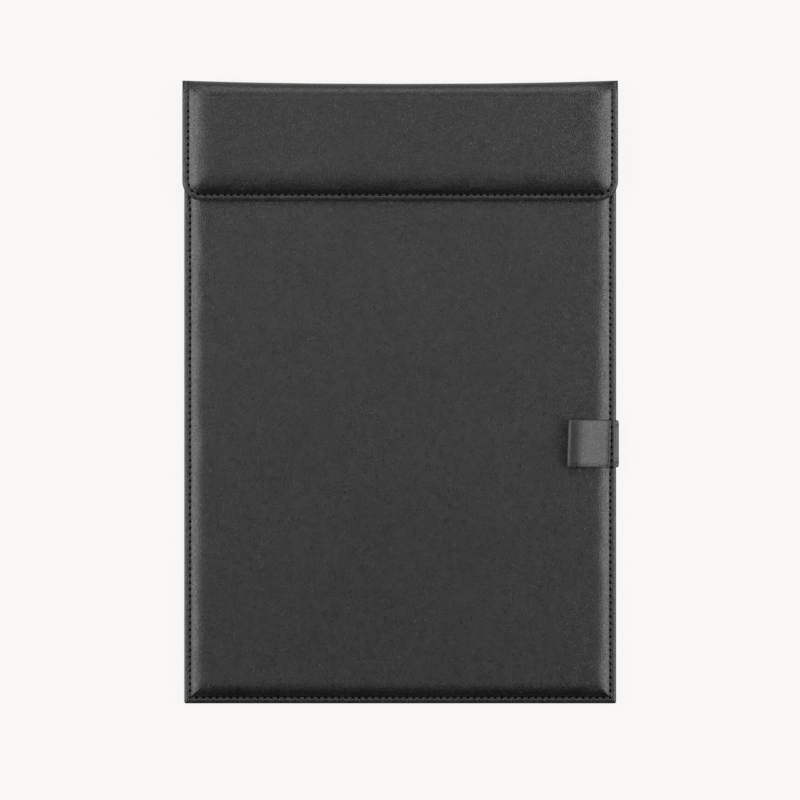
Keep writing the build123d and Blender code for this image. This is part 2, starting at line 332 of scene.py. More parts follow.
def flap_face(x, v, depth, sizes):
    """A point of the flap's outer leather, in millimetres, and its outward direction."""
    rise = padding_rise(depth, sizes.flap_pad_run / MM)
    near_side = HALF_FLAP - abs(x)
    level = FLAP_RIM_Z + (FLAP_TOP_Z - FLAP_RIM_Z) * rise
    level -= seam_fall(depth, sizes) + edge_fall(depth)
    level += FLAP_SWELL * unevenness(x, v, FLAP_SWELL_WAVE, 1.0) * rise
    # A deeper dip than this would sink the leather into the foam below it.
    pucker = max(LOWEST_PUCKER, unevenness(x, v, FLAP_PUCKER_WAVE, 2.0))
    level += FLAP_PUCKER * pucker * rise * (1 - rise) * 4
    mitre = MITRE * smooth((MITRE_START - near_side) / MITRE_RUN)
    line = FLAP_FOLD - CREASE_BEFORE_FOLD + mitre
    line += CREASE_WANDER * unevenness(x, 0, CREASE_WANDER_WAVE, 3.0)
    crease = sizes.crease_depth / MM * exp(-(((v - line) / CREASE_WIDTH) ** 2))
    crease *= smooth((near_side - CREASE_END) / CREASE_FADE)
    level -= crease * (1 + MITRE_DEEPENING * mitre / MITRE)
    if v <= FLAP_FOLD:
        return Vector((x, FLAP_END_Y + v, level)), Vector((0, 0, 1))
    reach = APEX_Y + flare(x) - FOLD_Y
    centre = spine_centre(depth, sizes.flap_pad_run / MM)
    return round_the_spine(x, v - FLAP_FOLD, reach, centre, level, 1, 1)


def flap_under(x, v, depth, sizes):
    """A point of the flap's lining, in millimetres, and its outward direction."""
    rise = bevel_rise(depth)
    rim = FLAP_UNDER_RIM_Z + seam_fall(depth, sizes) + edge_fall(depth)
    inwards = smooth((depth - BACK_RIM_WIDTH) / BEND_EASE)
    y = FLAP_END_Y + v
    if v <= FLAP_FOLD:
        run = max(0.0, (y - (FOLD_Y - LINING_BEND_RUN)) / LINING_BEND_RUN)
        floor = FLAP_FLOOR_Z + LINING_BEND_RISE * (1 - sqrt(max(0.0, 1 - run**BEND_ROUNDNESS)))
        inner = rim + (FLAP_FLOOR_Z - FLAP_UNDER_RIM_Z) * rise
        level = inner + (min(floor, LINING_TOP_Z) - FLAP_FLOOR_Z) * inwards
        return Vector((x, y, level)), Vector((0, 0, -1))
    reach = APEX_Y + flare(x) - 2 * sizes.leather / MM - FOLD_Y
    top = rim + (LINING_TOP_Z - FLAP_UNDER_RIM_Z) * inwards
    centre = spine_centre(depth, sizes.flap_pad_run / MM)
    return round_the_spine(x, v - FLAP_FOLD, reach, centre, top, -1, -1)


def writing_face(x, v, depth, sizes):
    """A point of the board's writing face, in millimetres, and its outward direction."""
    rise = padding_rise(depth, sizes.board_pad_run / MM)
    rim = BOARD_RIM_Z - seam_fall(depth, sizes) - edge_fall(depth)
    rim += BOARD_PUCKER * unevenness(x, v, BOARD_PUCKER_WAVE, 5.0) * rise * (1 - rise) * 4
    y = BOTTOM_Y + v
    if v <= BOARD_FOLD:
        run = max(0.0, (y - (FOLD_Y - FACE_BEND_RUN)) / FACE_BEND_RUN)
        drop = FACE_BEND_DROP * (1 - sqrt(max(0.0, 1 - run**BEND_ROUNDNESS)))
        level = rim + (BOARD_TOP_Z - BOARD_RIM_Z) * rise - drop * rise
        level += BOARD_SWELL * unevenness(x, v, BOARD_SWELL_WAVE, 4.0) * rise
        return Vector((x, y, level)), Vector((0, 0, 1))
    reach = APEX_Y + flare(x) - 2 * sizes.leather / MM - FOLD_Y
    low = rim + (BACK_RIM_Z - BOARD_RIM_Z) * rise
    centre = spine_centre(depth, sizes.board_pad_run / MM)
    return round_the_spine(x, v - BOARD_FOLD, reach, centre, low, -1, 1)


def back_face(x, v, depth, sizes):
    """A point of the folder's back, in millimetres, and its outward direction."""
    rise = bevel_rise(depth)
    level = BACK_RIM_Z * (1 - rise) + seam_fall(depth, sizes) + edge_fall(depth)
    if v <= BOARD_FOLD:
        return Vector((x, BOTTOM_Y + v, level)), Vector((0, 0, -1))
    reach = APEX_Y + flare(x) - FOLD_Y
    centre = spine_centre(depth, sizes.board_pad_run / MM)
    return round_the_spine(x, v - BOARD_FOLD, reach, centre, level, 1, -1)


def new_piece(name, mesh_maker, material):
    """Puts a finished bmesh into the scene as one smooth piece."""
    mesh = bpy.data.meshes.new(name)
    mesh_maker.to_mesh(mesh)
    mesh_maker.free()
    mesh.polygons.foreach_set("use_smooth", [True] * len(mesh.polygons))
    piece = bpy.data.objects.new(name, mesh)
    bpy.context.scene.collection.objects.link(piece)
    mesh.materials.append(material)
    return piece


def leather_wall(piece, thickness):
    """Gives a leather surface its thickness, inwards from the side that shows."""
    wall = piece.modifiers.new("Leather wall", "SOLIDIFY")
    wall.thickness = thickness
    wall.offset = -1
    wall.use_rim = True
    wall.use_even_offset = False


def leather_panel(name, half, fold, corner, surface, outward_up, sizes, material):
    """A leather panel from its sewn end to the spine's outermost line."""
    xs, vs = across_steps(half), along_steps(fold)
    sheet = bmesh.new()
    bmesh.ops.create_grid(sheet, x_segments=len(xs) - 1, y_segments=len(vs) - 1, size=1.0)
    along = sheet.verts.layers.float.new("seam_along")
    inside = sheet.verts.layers.float.new("seam_depth")
    for vert in sheet.verts:
        x = xs[round((vert.co.x + 1) / 2 * (len(xs) - 1))]
        v = vs[round((vert.co.y + 1) / 2 * (len(vs) - 1))]
        depth = min(half - abs(x), v)
        a, b, walk = round_corner(half - abs(x), v, corner)
        x = (half - a) * (1 if x >= 0 else -1)
        vert.co = surface(x, b, depth, sizes)[0] * MM
        vert[along], vert[inside] = walk, depth
    if not outward_up:
        bmesh.ops.reverse_faces(sheet, faces=sheet.faces[:])
    piece = new_piece(name, sheet, material)
    leather_wall(piece, sizes.leather)
    return piece


def seam_length(half, corner, sizes):
    """Length of a seam from the corner's middle to the middle of the sewn end."""
    inset = sizes.seam_inset / MM
    bend = max(corner - inset, 0.0)
    return bend * pi / 4 + half - max(corner, inset)


def even_pitch(half, corner, sizes):
    """The stitch pitch nearest to the wanted one that fits the sewn end evenly."""
    length = seam_length(half, corner, sizes)
    return length / round(length / (sizes.stitch_pitch / MM))


def add_stitch(seam, before, after, out, lift, slant, sizes):
    """One stitch of thread between two points, standing out of the leather by lift."""
    run = after - before
    forward = run.normalized()
    sideways = out.cross(forward).normalized()
    forward = (forward + sideways * slant).normalized()
    sideways = out.cross(forward).normalized()
    turn = Matrix((forward, sideways, forward.cross(sideways))).transposed().to_4x4()
    place = Matrix.Translation(((before + after) / 2 + out * lift) * MM)
    thread = sizes.thread / 2
    stretch = Matrix.Diagonal((run.length * STITCH_HALF * MM, thread, thread * THREAD_FLATNESS, 1))
    bmesh.ops.create_uvsphere(seam, u_segments=6, v_segments=5, radius=1.0, matrix=place @ turn @ stretch)


def add_hole_shade(holes, at, forward, out):
    """The dark dimple round one needle hole, a blob of painted shade."""
    sideways = out.cross(forward).normalized()
    turn = Matrix((forward, sideways, forward.cross(sideways))).transposed().to_4x4()
    stretch = Matrix.Diagonal((*(half * MM for half in HOLE_HALF_AXES), 1))
    place = Matrix.Translation(at * MM)
    bmesh.ops.create_uvsphere(holes, u_segments=8, v_segments=4, radius=1.0, matrix=place @ turn @ stretch)


def edge_seam(name, half, fold, corner, surface, body, sizes, material, hole_shade, skip=None):
    """The row of stitches round a panel's three sewn sides, up to the spine."""
    inset = sizes.seam_inset / MM
    pitch = even_pitch(half, corner, sizes)
    end_count = round(seam_length(half, corner, sizes) / pitch)
    bend = max(corner - inset, 0.0) * pi / 4
    side_count = int((fold - SEAM_END_GAP - max(corner, inset) + bend) / pitch)
    seam, holes = bmesh.new(), bmesh.new()
    for side in (-1, 1):
        for i in range(-end_count, side_count):
            ends = []
            for k in (i, i + THREAD_START, i + THREAD_END):
                near, wide = corner_point(abs(k) * pitch, inset, corner)
                a, b = (near, wide) if k >= 0 else (wide, near)
                ends.append(surface(side * (half - a), b, inset, sizes))
            (hole, out), (before, _), (after, _) = ends
            if skip and skip(before, after):
                continue
            # A near black blob at each needle hole: painted shade in the hole
            add_hole_shade(holes, hole, (before - hole).normalized(), out)
            add_stitch(seam, before, after, out, STITCH_LIFT, STITCH_SLANT * side, sizes)
    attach(new_piece(name, seam, material), body)
    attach(new_piece(name + "_hole_shade", holes, hole_shade), body)


def under_strap(before, after):
    """True for a stitch that the pen loop's strap covers."""
    middle = (before + after) / 2
    return middle.x > 0 and abs(middle.y - STRAP_Y) < STRAP_COVER


def eased_line(points, count):
    """A smooth line through points, sampled evenly in its parameter."""
    ends = [points[0] * 2 - points[1]] + points + [points[-1] * 2 - points[-2]]
    line = []
    spans = len(points) - 1
    for n in range(count + 1):
        t = n / count * spans
        i = min(int(t), spans - 1)
        t -= i
        p0, p1, p2, p3 = ends[i : i + 4]
        slope = p2 - p0
        bend = p0 * 2 - p1 * 5 + p2 * 4 - p3
        turn = p1 * 3 - p0 - p2 * 3 + p3
        line.append((p1 * 2 + slope * t + bend * t**2 + turn * t**3) / 2)
    return line


def strap_ribbon(ribbon, route, count, sizes, skew=0.0, worn=0.0):
    """One run of strap leather along a route across the board's edge, as (X, Z) in millimetres."""
    line = eased_line([Vector(p) for p in route], count)
    half = sizes.strap_width / MM / 2
    along = ribbon.verts.layers.float.get("seam_along") or ribbon.verts.layers.float.new("seam_along")
    inside = ribbon.verts.layers.float.get("seam_depth") or ribbon.verts.layers.float.new("seam_depth")
    inset = sizes.seam_inset / MM
    made = bmesh.ops.create_grid(ribbon, x_segments=count, y_segments=len(STRAP_ROWS) - 1, size=1.0)["verts"]
    for vert in made:
        i = round((vert.co.x + 1) / 2 * count)
        row = STRAP_ROWS[round((vert.co.y + 1) / 2 * (len(STRAP_ROWS) - 1))]
        here = line[i]
        step = line[min(i + 1, count)] - line[max(i - 1, 0)]
        out = Vector((step.y, -step.x)).normalized()
        fall = 0.28 * smooth((abs(row) - 0.86) / 0.14)
        crease = worn * exp(-(((row + 0.02) / 0.035) ** 2)) * smooth((here.y - 7) / 3)
        sewn = here.y > 6 or here.y < 0.6
        crease += sizes.seam_depth / MM * exp(-(((here.x - STRAP_SEAM_X) / STRAP_GROOVE) ** 2)) * sewn
        at = here - out * (fall + crease)
        y = STRAP_Y + row * half + skew * (HINGE_X - at.x) / 22
        vert.co = Vector((at.x + skew * row, y, at.y)) * MM
        vert[along] = row * half
        from_side = (1 - abs(row)) * half
        from_seam = min(inset + abs(here.x - STRAP_SEAM_X), 8.0)
        vert[inside] = from_seam if sewn and from_side > 0.6 else from_side + 0.3


def node(tree, kind, settings=None, links=None):
    """Adds a node. Settings are its own or its inputs' values, links are what feeds its inputs."""
    made = tree.nodes.new(kind)
    for key, value in (settings or {}).items():
        if isinstance(key, int) or key in made.inputs:
            made.inputs[key].default_value = value
        else:
            setattr(made, key, value)
    for key, source in (links or {}).items():
        tree.links.new(source, made.inputs[key])
    return made


def blank_material(name):
    """A material with its output and an empty tree, and the object's own coordinates."""
    material = bpy.data.materials.new(name)
    material.use_nodes = True
    tree = material.node_tree
    tree.nodes.clear()
    place = node(tree, "ShaderNodeTexCoord").outputs["Object"]
    return material, tree, place


def finish_material(tree, shader):
    """Joins the shader to the material's output."""
    node(tree, "ShaderNodeOutputMaterial", links={"Surface": shader})


def grained_leather(tree, place, dark, light, grain, roughness):
    """Embossed leather grain: closed cells with fine creases between them.

    Gives the colour, the roughness and the height of the grain.
    """
    cells = node(
        tree, "ShaderNodeTexVoronoi",
        {"feature": "DISTANCE_TO_EDGE", "Scale": 1 / grain, "Randomness": 0.9}, {"Vector": place},
    )
    flat = node(
        tree, "ShaderNodeMapRange", {"From Min": 0.0, "From Max": 0.16, "To Min": 0.0, "To Max": 1.0},
        {"Value": cells.outputs["Distance"]},
    )
    fine = node(
        tree, "ShaderNodeTexNoise",
        {"Scale": 1.15 / grain, "Detail": 2.5, "Roughness": 0.6}, {"Vector": place},
    )
    broad = node(tree, "ShaderNodeTexNoise", {"Scale": 1 / 0.045, "Detail": 2.0}, {"Vector": place})
    height = node(
        tree, "ShaderNodeMath", {"operation": "MULTIPLY_ADD", 1: 2.6},
        {0: fine.outputs["Fac"], 2: flat.outputs["Result"]},
    )
    blend = node(
        tree, "ShaderNodeMapRange", {"From Min": 0.35, "From Max": 0.65}, {"Value": broad.outputs["Fac"]}
    )
    tint = node(
        tree, "ShaderNodeMix", {"data_type": "RGBA", 6: (*dark, 1), 7: (*light, 1)},
        {0: blend.outputs["Result"]},
    )
    rough = node(
        tree, "ShaderNodeMapRange",
        {"From Min": 0.3, "From Max": 0.7, "To Min": roughness - 0.13, "To Max": roughness + 0.13},
        {"Value": fine.outputs["Fac"]},
    )
    return tint.outputs[2], rough.outputs["Result"], height.outputs["Value"]


def seam_marks(tree, pitch, inset):
    """Needle holes and the puckers between them along a seam, from the panel's own attributes.

    Gives the holes, 1 in a hole, the height of the puckers, and where the leather is matt: in the
    holes and on the painted cut edge. The holes and the seam's groove are also made near black as painted
    shade;
    the cut edge's black is its real edge paint.
    """
    along = node(tree, "ShaderNodeAttribute", {"attribute_name": "seam_along"}).outputs["Fac"]
    depth = node(tree, "ShaderNodeAttribute", {"attribute_name": "seam_depth"}).outputs["Fac"]
    turn = node(tree, "ShaderNodeMath", {"operation": "MULTIPLY", 1: 2 * pi / pitch}, {0: along})
    wave = node(tree, "ShaderNodeMath", {"operation": "COSINE"}, {0: turn.outputs["Value"]})
    offset = node(tree, "ShaderNodeMath", {"operation": "SUBTRACT", 1: inset}, {0: depth})
    away = node(tree, "ShaderNodeMath", {"operation": "ABSOLUTE"}, {0: offset.outputs["Value"]})
    near = node(
        tree, "ShaderNodeMapRange", {"interpolation_type": "SMOOTHSTEP", "From Min": 1.7, "From Max": 0.1},
        {"Value": away.outputs["Value"]},
    )
    pucker = node(
        tree, "ShaderNodeMath", {"operation": "MULTIPLY"},
        {0: wave.outputs["Value"], 1: near.outputs["Result"]},
    )
    # Painted shade: a dark band along the seam's groove, darkest at each needle hole
    line = node(
        tree, "ShaderNodeMapRange", {"interpolation_type": "SMOOTHSTEP", "From Min": 0.75, "From Max": 0.3},
        {"Value": away.outputs["Value"]},
    )
    hole_shade_spot = node(
        tree, "ShaderNodeMapRange",
        {
            "interpolation_type": "SMOOTHSTEP",
            "From Min": 0.35, "From Max": 0.8, "To Min": 0.45, "To Max": 1.0,
        },
        {"Value": wave.outputs["Value"]},
    )
    hole = node(
        tree, "ShaderNodeMath", {"operation": "MULTIPLY"},
        {0: line.outputs["Result"], 1: hole_shade_spot.outputs["Result"]},
    )
    paint = node(
        tree, "ShaderNodeMapRange", {"interpolation_type": "SMOOTHSTEP", "From Min": 0.5, "From Max": 0.2},
        {"Value": depth},
    )
    matt = node(
        tree, "ShaderNodeMath", {"operation": "MAXIMUM"},
        {0: hole.outputs["Value"], 1: paint.outputs["Result"]},
    )
    return hole.outputs["Value"], pucker.outputs["Value"], matt.outputs["Value"]


def panel_leather(name, sizes, colours, pitch):
    """Smooth black PU leather, embossed with a fine grain and sewn along its rim.

    Its polyurethane skin gives the eye a satin gloss without sharp highlights, broken by the
    shallow cells of the grain, with soft puckers where the needle went in and dark pin pricks there, which
    are painted shade in the holes.
    """
    material, tree, place = blank_material(name)
    tint, rough, grain = grained_leather(
        tree, place, tuple(colours.leather), tuple(colours.leather_worn), sizes.grain, 0.3
    )
    hole, pucker, matt = seam_marks(tree, pitch, sizes.seam_inset / MM)
    # Painted shade in the needle holes and the seam's groove, together with the real black edge paint, takes
    # the colour near black
    dark = node(
        tree, "ShaderNodeMix", {"data_type": "RGBA", 7: (*linear_colour("#010101"), 1)}, {0: matt, 6: tint}
    )
    gloss = node(tree, "ShaderNodeMix", {"data_type": "FLOAT", 3: 1.0}, {0: matt, 2: rough})
    worked = node(tree, "ShaderNodeMath", {"operation": "MULTIPLY_ADD", 1: -1.1}, {0: pucker, 2: grain})
    pierced = node(
        tree, "ShaderNodeMath", {"operation": "MULTIPLY_ADD", 1: -2.5},
        {0: hole, 2: worked.outputs["Value"]},
    )
    bump = node(
        tree, "ShaderNodeBump", {"Strength": 0.7, "Distance": 0.00007}, {"Height": pierced.outputs["Value"]}
    )
    skin = node(
        tree, "ShaderNodeBsdfPrincipled", {"IOR": 1.5, "Specular IOR Level": 0.5},
        {"Base Color": dark.outputs[2], "Roughness": gloss.outputs[0], "Normal": bump.outputs["Normal"]},
    )
    finish_material(tree, skin.outputs["BSDF"])
    return material


def strap_leather(sizes, colours):
    """Black strap leather with a rolled finish.

    It is a little more matt than the panels and has the same grain and needle marks, with the holes and the
    seam's groove darkened as painted shade.
    """
    material, tree, place = blank_material("rolled_strap_leather")
    tint, rough, grain = grained_leather(
        tree, place, tuple(colours.strap), tuple(colours.leather_worn), sizes.grain, 0.38
    )
    _, pucker, matt = seam_marks(tree, sizes.stitch_pitch / MM, sizes.seam_inset / MM)
    # Painted shade in the needle holes and the seam's groove, together with the real black edge paint, takes
    # the colour near black
    dark = node(
        tree, "ShaderNodeMix", {"data_type": "RGBA", 7: (*linear_colour("#010101"), 1)}, {0: matt, 6: tint}
    )
    gloss = node(tree, "ShaderNodeMix", {"data_type": "FLOAT", 3: 1.0}, {0: matt, 2: rough})
    worked = node(tree, "ShaderNodeMath", {"operation": "MULTIPLY_ADD", 1: -1.1}, {0: pucker, 2: grain})
    bump = node(
        tree, "ShaderNodeBump", {"Strength": 0.6, "Distance": 0.00008}, {"Height": worked.outputs["Value"]}
    )
    skin = node(
        tree, "ShaderNodeBsdfPrincipled", {"IOR": 1.5},
        {"Base Color": dark.outputs[2], "Roughness": gloss.outputs[0], "Normal": bump.outputs["Normal"]},
    )
    finish_material(tree, skin.outputs["BSDF"])
    return material


def polyester_thread(sizes, colours):
    """Black bonded polyester thread: two twisted plies with a dull shine along each stitch, darkened in the
    grooves between the plies as painted shade.
    """
    material, tree, place = blank_material("bonded_polyester_thread")
    plies = node(
        tree, "ShaderNodeTexWave",
        {"wave_type": "BANDS", "bands_direction": "DIAGONAL", "Scale": 0.5 / sizes.thread, "Distortion": 0.6},
        {"Vector": place},
    )
    # Painted shade: darker in the grooves between the plies, where the bump sinks in
    tint = node(
        tree, "ShaderNodeMix",
        {"data_type": "RGBA", 6: (*(c * 0.45 for c in colours.thread), 1), 7: (*colours.thread, 1)},
        {0: plies.outputs["Fac"]},
    )
    bump = node(
        tree, "ShaderNodeBump", {"Strength": 0.5, "Distance": 0.00006},
        {"Height": plies.outputs["Fac"]},
    )
    fibre = node(
        tree, "ShaderNodeBsdfPrincipled", {"Roughness": 0.75},
        {"Base Color": tint.outputs[2], "Normal": bump.outputs["Normal"]},
    )
    finish_material(tree, fibre.outputs["BSDF"])
    return material


def hole_shade_material():
    """Painted shade for a needle hole in black leather: near black, matt and without specular, so it throws
    back next to no light.
    """
    material, tree, place = blank_material("painted_needle_hole_shade")
    fibres = node(tree, "ShaderNodeTexNoise", {"Scale": 1 / 0.0003, "Detail": 2.0}, {"Vector": place})
    tint = node(
        tree, "ShaderNodeMix",
        {"data_type": "RGBA", 6: (*linear_colour("#010101"), 1), 7: (*linear_colour("#080808"), 1)},
        {0: fibres.outputs["Fac"]},
    )
    hole_shade = node(
        tree, "ShaderNodeBsdfPrincipled", {"Roughness": 1.0, "Specular IOR Level": 0.0},
        {"Base Color": tint.outputs[2]},
    )
    finish_material(tree, hole_shade.outputs["BSDF"])
    return material


def pressed_greyboard(colours):
    """Pressed recycled greyboard: matt, with short fibres and darker specks."""
    material, tree, place = blank_material("pressed_greyboard")
    fibres = node(tree, "ShaderNodeTexNoise", {"Scale": 1 / 0.0012, "Detail": 5.0}, {"Vector": place})
    tint = node(
        tree, "ShaderNodeMix",
        {"data_type": "RGBA", 6: (*(c * 0.7 for c in colours.greyboard), 1), 7: (*colours.greyboard, 1)},
        {0: fibres.outputs["Fac"]},
    )
    bump = node(
        tree, "ShaderNodeBump", {"Strength": 0.4, "Distance": 0.0001},
        {"Height": fibres.outputs["Fac"]},
    )
    board = node(
        tree, "ShaderNodeBsdfPrincipled", {"Roughness": 0.9},
        {"Base Color": tint.outputs[2], "Normal": bump.outputs["Normal"]},
    )
    finish_material(tree, board.outputs["BSDF"])
    return material


def open_cell_foam(colours):
    """Open cell polyurethane foam: matt and pitted with pores of half a millimetre, darkened towards their
    middles as painted shade.
    """
    material, tree, place = blank_material("open_cell_foam")
    pores = node(tree, "ShaderNodeTexVoronoi", {"Scale": 1 / 0.0005}, {"Vector": place})
    # Painted shade: darker towards each pore's middle, where the bump sinks in
    tint = node(
        tree, "ShaderNodeMix",
        {"data_type": "RGBA", 6: (*(c * 0.3 for c in colours.foam), 1), 7: (*colours.foam, 1)},
        {0: pores.outputs["Distance"]},
    )
    bump = node(
        tree, "ShaderNodeBump", {"Strength": 0.8, "Distance": 0.0003},
        {"Height": pores.outputs["Distance"]},
    )
    foam = node(
        tree, "ShaderNodeBsdfPrincipled", {"Roughness": 0.95},
        {"Base Color": tint.outputs[2], "Normal": bump.outputs["Normal"]},
    )
    finish_material(tree, foam.outputs["BSDF"])
    return material


def plain_metal(name, tint, roughness, streak):
    """Sheet metal with fine rolling streaks along X, which spread its highlights sideways."""
    material, tree, place = blank_material(name)
    turned = node(
        tree, "ShaderNodeMapping", {"Scale": (1 / streak / 40, 1 / streak, 1 / streak)}, {"Vector": place}
    )
    streaks = node(
        tree, "ShaderNodeTexNoise", {"Scale": 1.0, "Detail": 3.0}, {"Vector": turned.outputs["Vector"]}
    )
    shade = node(
        tree, "ShaderNodeMix", {"data_type": "RGBA", 6: (*(c * 0.85 for c in tint), 1), 7: (*tint, 1)},
        {0: streaks.outputs["Fac"]},
    )
    rough = node(
        tree, "ShaderNodeMapRange", {"To Min": roughness - 0.06, "To Max": roughness + 0.06},
        {"Value": streaks.outputs["Fac"]},
    )
    metal = node(
        tree, "ShaderNodeBsdfPrincipled", {"Metallic": 1.0},
        {"Base Color": shade.outputs[2], "Roughness": rough.outputs["Result"]},
    )
    finish_material(tree, metal.outputs["BSDF"])
    return material


def known_material(name, maker, *words):
    """The material of that name, made once."""
    return bpy.data.materials.get(name) or maker(*words)


def board_leather(scene):
    """The leather of the board's two panels, with their stitch pitch."""
    pitch = even_pitch(HALF_BOARD, BOARD_CORNER, scene.folder_sizes)
    return known_material(
        "board_pu_leather", panel_leather, "board_pu_leather", scene.folder_sizes, scene.folder_colours, pitch
    )


def flap_leather(scene):
    """The leather of the flap's two panels, with their stitch pitch."""
    pitch = even_pitch(HALF_FLAP, FLAP_CORNER, scene.folder_sizes)
    return known_material(
        "flap_pu_leather", panel_leather, "flap_pu_leather", scene.folder_sizes, scene.folder_colours, pitch
    )


class FOLDER_OT_outer_leather(bpy.types.Operator):
    """Makes the outer leather: the back with the lower half of the spine, and the flap's face"""

    bl_idname = "folder.outer_leather"
    bl_label = "Outer Leather"

    def execute(self, context):
        scene = context.scene
        sizes = scene.folder_sizes
        back = leather_panel(
            "back_leather", HALF_BOARD, BOARD_FOLD, BOARD_CORNER, back_face, False, sizes,
            board_leather(scene),
        )
        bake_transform(back)
        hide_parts("back_skin", "spine_skin")
        flap = leather_panel(
            "flap_leather", HALF_FLAP, FLAP_FOLD, FLAP_CORNER, flap_face, True, sizes,
            flap_leather(scene),
        )
        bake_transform(flap)
        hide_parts("flap_skin")
        return {"FINISHED"}


class FOLDER_OT_inner_leather(bpy.types.Operator):
    """Makes the inner leather: the padded writing face and the flap's lining"""

    bl_idname = "folder.inner_leather"
    bl_label = "Inner Leather"

    def execute(self, context):
        scene = context.scene
        sizes = scene.folder_sizes
        front = leather_panel(
            "writing_face_leather", HALF_BOARD, BOARD_FOLD, BOARD_CORNER, writing_face, True, sizes,
            board_leather(scene),
        )
        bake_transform(front)
        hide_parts("front_skin", "spine_lining")
        lining = leather_panel(
            "flap_lining_leather", HALF_FLAP, FLAP_FOLD, FLAP_CORNER, flap_under, False, sizes,
            flap_leather(scene),
        )
        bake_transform(lining)
        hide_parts("flap_lining")
        return {"FINISHED"}


class FOLDER_OT_seams(bpy.types.Operator):
    """Sews the board and the flap along their rims"""

    bl_idname = "folder.seams"
    bl_label = "Edge Seams"

    def execute(self, context):
        scene = context.scene
        sizes = scene.folder_sizes
        thread = known_material("bonded_polyester_thread", polyester_thread, sizes, scene.folder_colours)
        hole_shade = known_material("painted_needle_hole_shade", hole_shade_material)
        board = (HALF_BOARD, BOARD_FOLD, BOARD_CORNER)
        flap = (HALF_FLAP, FLAP_FOLD, FLAP_CORNER)
        edge_seam("board_seam_front", *board, writing_face, "board", sizes, thread, hole_shade, under_strap)
        edge_seam("board_seam_back", *board, back_face, "board", sizes, thread, hole_shade, under_strap)
        edge_seam("flap_seam_top", *flap, flap_face, "flap", sizes, thread, hole_shade)
        edge_seam("flap_seam_under", *flap, flap_under, "flap", sizes, thread, hole_shade)
        return {"FINISHED"}


class FOLDER_OT_pen_loop(bpy.types.Operator):
    """Makes the pen loop, its end round the board's edge and the seam through it"""

    bl_idname = "folder.pen_loop"
    bl_label = "Pen Loop"

    def execute(self, context):
        scene = context.scene
        sizes = scene.folder_sizes
        leather = known_material("rolled_strap_leather", strap_leather, sizes, scene.folder_colours)
        ribbon = bmesh.new()
        strap_ribbon(ribbon, LOOP_ROUTE, 114, sizes, skew=0.35, worn=0.14)
        bmesh.ops.reverse_faces(ribbon, faces=ribbon.faces[:])
        loop = new_piece("pen_loop_strap", ribbon, leather)
        leather_wall(loop, sizes.strap)
        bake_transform(loop)
        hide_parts("pen_loop")
        ribbon = bmesh.new()
        strap_ribbon(ribbon, TAIL_INNER_ROUTE, 8, sizes)
        strap_ribbon(ribbon, TAIL_ROUTE, 78, sizes)
        bmesh.ops.reverse_faces(ribbon, faces=ribbon.faces[:])
        tail = new_piece("pen_loop_end", ribbon, leather)
        leather_wall(tail, sizes.strap)
        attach(tail, "board")
        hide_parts("pen_loop_tail")
        seam, holes = bmesh.new(), bmesh.new()
        pitch = sizes.stitch_pitch / MM
        for i in range(-3, 4):
            for level, out in ((STRAP_TOP_Z, 1), (STRAP_UNDER_Z, -1)):
                up = Vector((0, 0, out))
                before = Vector((STRAP_SEAM_X, STRAP_Y + (i - 0.42) * pitch, level))
                after = Vector((STRAP_SEAM_X, STRAP_Y + (i + 0.42) * pitch, level))
                add_stitch(seam, before, after, up, -0.35, STITCH_SLANT, sizes)
                hole = Vector((STRAP_SEAM_X, STRAP_Y + (i - 0.5) * pitch, level - 0.45 * out))
                # A near black blob at each needle hole: painted shade in the hole
                add_hole_shade(holes, hole, Vector((0, 1, 0)), up)
        thread = known_material("bonded_polyester_thread", polyester_thread, sizes, scene.folder_colours)
        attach(new_piece("pen_loop_seam", seam, thread), "board")
        hole_shade = known_material("painted_needle_hole_shade", hole_shade_material)
        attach(new_piece("pen_loop_seam_hole_shade", holes, hole_shade), "board")
        return {"FINISHED"}


class FOLDER_OT_inner_parts(bpy.types.Operator):
    """Gives the stiff sheets, padding, magnets and catch plates inside their materials"""

    bl_idname = "folder.inner_parts"
    bl_label = "Inner Parts"

    def execute(self, context):
        colours = context.scene.folder_colours
        board = pressed_greyboard(colours)
        foam = open_cell_foam(colours)
        steel = plain_metal("cold_rolled_steel", tuple(colours.steel), 0.4, 0.0003)
        nickel = plain_metal("nickel_plated_magnet", tuple(colours.nickel), 0.22, 0.0006)
        finishes = {
            "board_core": board, "flap_stiffener": board, "board_foam": foam, "flap_foam": foam,
            "catch_plate_left": steel, "catch_plate_right": steel,
            "magnet_left": nickel, "magnet_right": nickel,
        }
        for name, material in finishes.items():
            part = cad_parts[name]
            if part.material_slots:
                part.material_slots[0].material = material
            else:
                part.data.materials.append(material)
        return {"FINISHED"}


def soft_box(name, at, aim, size, power):
    """A rectangular soft light that faces a point."""
    data = bpy.data.lights.new(name, "AREA")
    data.shape = "RECTANGLE"
    data.size, data.size_y = size
    data.energy = power
    lamp = bpy.data.objects.new(name, data)
    lamp.location = at
    lamp.rotation_euler = (Vector(aim) - Vector(at)).to_track_quat("-Z", "Y").to_euler()
    bpy.context.scene.collection.objects.link(lamp)


